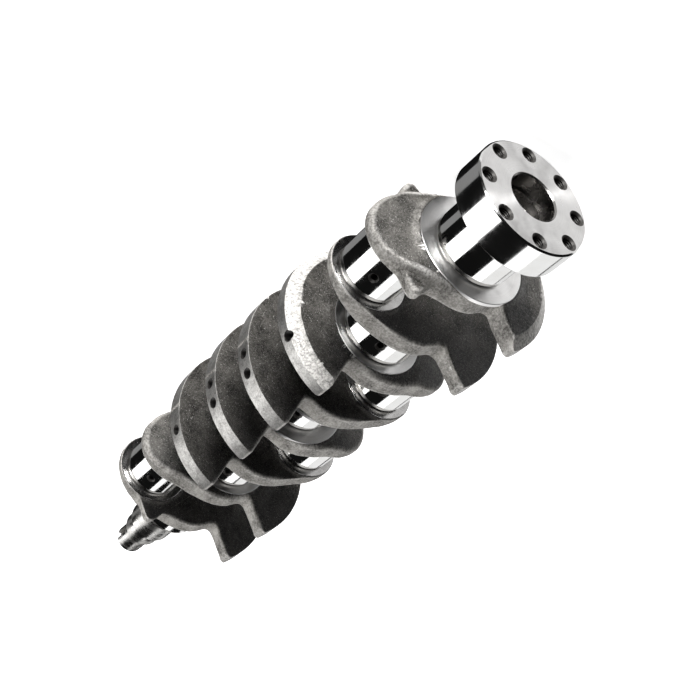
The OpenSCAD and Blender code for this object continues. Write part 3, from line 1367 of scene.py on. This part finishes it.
    def roughen(self, piece: Piece, span: Span) -> None:
        """Gives the forging its uneven skin, and keeps it inside the node's box.

        Args:
            piece: the web, changed in place.
            span: box of the web's node.
        """
        mesh = piece.data
        n = len(mesh.vertices)
        place, out = np.empty(n * 3), np.empty(n * 3)
        mesh.vertices.foreach_get("co", place)
        mesh.vertex_normals.foreach_get("vector", out)
        place, out = place.reshape(-1, 3), out.reshape(-1, 3)
        seed = Vector((0.0, 31.7 * self.number, 0.0))
        broad, small = self.skin_wave
        spots = [Vector(p) + seed for p in place]
        lift = np.array([broad * noise.noise(s * 0.085) + small * noise.noise(s * 0.42) for s in spots])
        place += out * (lift - self.skin_sink)[:, None]
        place[:, 1:] = np.clip(place[:, 1:], span.low[1:], span.high[1:])
        mesh.vertices.foreach_set("co", place.ravel())
        mesh.update()

    def turn_rim(self, piece: Piece, span: Span, finishes: Finishes) -> None:
        """Turns the counterweight's rim.

        Args:
            piece: the web, changed in place.
            span: box of the web's node.
            finishes: the shaft's finishes.
        """
        far = self.rim_r + 9.0
        if self.wide:
            rim_at = 3.5 + self.rim_cone * self.cone_slope
            foot = self.rim_r - (rim_at + 1.0) / self.cone_slope
            outline = [(-1.0, foot), (rim_at, self.rim_r), (22.0, self.rim_r), (22.0, far), (-1.0, far)]
            marks = [0, 1, 1, 1, 1]
        else:
            outline = [(-2.0, self.rim_r), (22.0, self.rim_r), (22.0, far), (-2.0, far)]
            marks = [1, 1, 1, 1]
        tool = swept("rim_tool", outline, *self.rim_sweep, [finishes.forged, finishes.rim], marks)
        self.move_tool(tool, span)
        carve(piece, tool, Cut.TAKE_AWAY)

    def move_tool(self, tool: Piece, span: Span) -> None:
        """Puts a tool that is drawn by depth from the main face into the frame.

        Args:
            tool: the tool, changed in place.
            span: box of the web's node.
        """
        if self.main_at_rear:
            move = Matrix.Translation((span.high[0], 0, 0)) @ Matrix.Diagonal((-1.0, 1.0, 1.0, 1.0))
            tool.data.transform(move)
            tool.data.flip_normals()
        else:
            tool.data.transform(Matrix.Translation((span.low[0], 0, 0)))
        if self.pin_down:
            tool.data.transform(Matrix.Rotation(math.pi, 4, "X"))

    def add_collar(self, piece: Piece, x_face: float, inward: float, centre_y: float, radius: float,
                   finish: Material) -> None:
        """Adds the faced collar round a journal.

        Args:
            piece: the web.
            x_face: plane of the collar.
            inward: direction along X into the web.
            centre_y: Y of its centre.
            radius: its radius.
            finish: its material.
        """
        profile = [(0.0, radius - 0.3), (0.3, radius), (3.0, radius)]
        placed = [(x_face + inward * x, r) for x, r in profile]
        carve(piece, revolved("collar", placed, finish, centre_y, 160), Cut.ADD)

    def balance(self, piece: Piece, span: Span, finish: Material) -> None:
        """Drills the balance holes into the rim.

        Args:
            piece: the web, changed in place.
            span: box of the web's node.
            finish: material that it leaves.
        """
        x = span.low[0] + 8.0 if self.wide else (span.low[0] + span.high[0]) / 2
        low = self.rim_r - self.drill_depth
        profile = [(low - 2.2, 0.15), (low, self.drill_r), (self.rim_r - 0.35, self.drill_r),
                   (self.rim_r + 0.5, self.drill_r + 0.6)]
        for angle in self.drillings_deg:
            drill(piece, profile, finish, (x, 0.0, 0.0), angle)

    def build(self, shape: Forging, finishes: Finishes) -> None:
        """Forges, machines and dresses the web.

        Args:
            shape: outline and grid of the forging.
            finishes: the shaft's finishes.
        """
        span = Span.of(self.node)
        points, faces = self.skin(shape, span)
        piece = solid(self.node + "_look", self.place(points, span), faces, [finishes.forged])
        self.roughen(piece, span)
        self.turn_rim(piece, span, finishes)
        main_x, pin_x = (span.high[0], span.low[0]) if self.main_at_rear else (span.low[0], span.high[0])
        inward = -1.0 if self.main_at_rear else 1.0
        pin_finish = finishes.pin_collar_down if self.pin_down else finishes.pin_collar_up
        pin_y = -THROW if self.pin_down else THROW
        self.add_collar(piece, main_x, inward, 0.0, self.main_r + self.collar, finishes.collar)
        self.add_collar(piece, pin_x, -inward, pin_y, self.pin_r + self.pin_collar, pin_finish)
        self.balance(piece, span, finishes.drilled)
        finish_piece(piece, self.node, Slot.FORGED)


# ---------------------------------------------------------------- studio


@dataclass(frozen=True)
class Softbox:
    """A rectangular lamp, which may light only polished or only dull surfaces."""

    name: str
    centre: Triple
    aim: Triple
    size: Pair
    radiance: float
    on_gloss: bool = True
    on_diffuse: bool = True

    @classmethod
    def card(cls, name: str, x: float, y: float, size: Pair, radiance: float) -> "Softbox":
        """A card just above the floor that faces up and shows in polished steel only."""
        return cls(name, (x, y, -0.056), (x, y, 1.0), size, radiance, on_diffuse=False)

    def build(self) -> None:
        """Puts the lamp in the scene."""
        lamp = bpy.data.lights.new(self.name, "AREA")
        lamp.shape = "RECTANGLE"
        lamp.size, lamp.size_y = self.size
        lamp.energy = self.radiance * math.pi * self.size[0] * self.size[1]
        holder = link(self.name, lamp)
        look = (Vector(self.aim) - Vector(self.centre)).normalized()
        turn = look.to_track_quat("-Z", "Y").to_matrix().to_4x4()
        holder.matrix_world = Matrix.Translation(self.centre) @ turn
        holder.visible_camera = False
        holder.visible_glossy = self.on_gloss
        holder.visible_diffuse = self.on_diffuse


@dataclass
class Studio:
    """Floor, lamps, surroundings and camera."""

    floor_half: float = 7.0
    floor_glow: float = 0.72
    camera_at: Triple = (0.38330, 0.39799, 0.49483)
    camera_right: Triple = (0.56160, -0.82741, 0.00155)
    camera_up: Triple = (0.47638, 0.32182, -0.81822)
    lens: float = 60.80
    surroundings: float = 0.006
    lamps: list[Softbox] = field(default_factory=lambda: [
        Softbox("side_box", (-1.5, 1.2, 0.62), (-1.5, 0.0, 0.62), (2.2, 1.3), 2.2),
        Softbox("high_strip", (-1.75, -1.03, 1.5), (-1.75, -1.03, 0.0), (2.6, 1.14), 1.5),
        Softbox("left_card", (-1.6, -1.6, 0.72), (-1.6, 0.0, 0.72), (2.4, 1.54), 1.0),
        Softbox.card("front_card", 0.3225, -0.235, (0.635, 0.59), 0.9),
        Softbox.card("collar_card", -0.03, -0.269, (0.07, 0.542), 0.9),
        Softbox.card("side_card", -0.35, -0.43, (0.70, 0.62), 0.85),
        Softbox.card("floor_streak", -0.35, 0.08, (0.9, 0.05), 0.25),
        Softbox("face_glare", (1.20, 0.92, 0.03), (0.0, 0.0, 0.0), (0.50, 0.50), 34.0, on_diffuse=False),
        Softbox("under_front", (1.34, 0.68, -1.36), (-0.25, 0.0, 0.0), (1.2, 1.2), 36.0, on_gloss=False),
        Softbox("overhead", (-0.25, 0.43, 2.16), (-0.25, 0.0, 0.0), (1.0, 1.0), 6.0, on_gloss=False),
        Softbox("key", (-0.9, 1.3, 1.3), (-0.3, 0.0, 0.0), (1.2, 0.8), 8.0, on_gloss=False),
    ])

    def build_floor(self) -> None:
        """Lays the pale floor under the shaft."""
        low = min(v.co.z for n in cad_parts.values() for v in n.data.vertices)
        h = self.floor_half
        mesh = bpy.data.meshes.new("floor")
        mesh.from_pydata([(-h, -h, low), (h, -h, low), (h, h, low), (-h, h, low)], [], [(0, 1, 2, 3)])
        material, t, shader = new_material("pale_floor")
        t.fill(shader, {"Base Color": (0.90, 0.90, 0.90), "Roughness": 0.9, "Specular IOR Level": 0.1,
                        "Emission Color": (1.0, 1.0, 1.0), "Emission Strength": self.floor_glow})
        mesh.materials.append(material)
        floor = link("floor", mesh)
        floor.visible_glossy = floor.visible_diffuse = floor.visible_shadow = False

    def build_surroundings(self) -> None:
        """Fills the dark room with a little light."""
        world = bpy.data.worlds.new("dim_room")
        world.use_nodes = True
        back = world.node_tree.nodes["Background"]
        back.inputs["Color"].default_value = (1.0, 1.0, 1.0, 1.0)
        back.inputs["Strength"].default_value = self.surroundings
        bpy.context.scene.world = world

    def build_camera(self) -> None:
        """Sets up the camera."""
        lens = bpy.data.cameras.new("camera")
        lens.sensor_width, lens.lens = 36.0, self.lens
        lens.clip_start, lens.clip_end = 0.01, 50.0
        camera = link("camera", lens)
        right, up = Vector(self.camera_right).normalized(), Vector(self.camera_up)
        back = right.cross(up).normalized()
        up = back.cross(right)
        turn = Matrix((right, up, back)).transposed().to_4x4()
        camera.matrix_world = Matrix.Translation(self.camera_at) @ turn
        bpy.context.scene.camera = camera

    def build(self) -> None:
        """Builds the studio."""
        self.build_floor()
        self.build_surroundings()
        self.build_camera()
        for lamp in self.lamps:
            lamp.build()
        bpy.context.scene.view_settings.view_transform = "Standard"
        bpy.context.scene.view_settings.look = "None"


# ---------------------------------------------------------------- the shaft


@dataclass
class Crankshaft:
    """The whole shaft, from the flange to the nose."""

    main_oil_deg: float = 72.0
    rear_oil_deg: float = 252.0
    pin_oil_deg: float = 65.0
    rear_oil_from_front: float = 14.75

    def build(self, finishes: Finishes) -> None:
        """Builds every section in order along the shaft.

        Args:
            finishes: the shaft's finishes.
        """
        rule, circle = TurningRule(), BoltCircleRule()
        Flange().build(rule, circle, finishes)
        for number in (5, 4, 3, 2, 1):
            rear = number == 5
            Journal(f"main_journal_{number}", self.rear_oil_deg if rear else self.main_oil_deg,
                    self.rear_oil_from_front if rear else None).build(rule, finishes)
        for number in (4, 3, 2, 1):
            Journal(f"crankpin_{number}", self.pin_oil_deg).build(rule, finishes)
        plain, lugged = Forging(lugs=False), Forging(lugs=True)
        webs = [
            Web(8, collar=12.5, wide=True, lugs=True), Web(7), Web(6, wide=True, drillings_deg=(21.0,)),
            Web(5, collar=11.0, drillings_deg=(8.0, 21.0)), Web(4, collar=11.0, drillings_deg=(7.0, 20.0)),
            Web(3, drillings_deg=(16.0,)), Web(2), Web(1, lugs=True),
        ]
        for web in webs:
            web.build(lugged if web.lugs else plain, finishes)
        Snout().build(rule, finishes)


def main() -> None:
    """Builds the shaft and the studio."""
    logging.basicConfig(level=logging.INFO, format="%(message)s")
    Crankshaft().build(Finishes())
    Studio().build()
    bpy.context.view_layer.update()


if __name__ == "__main__":
    main()
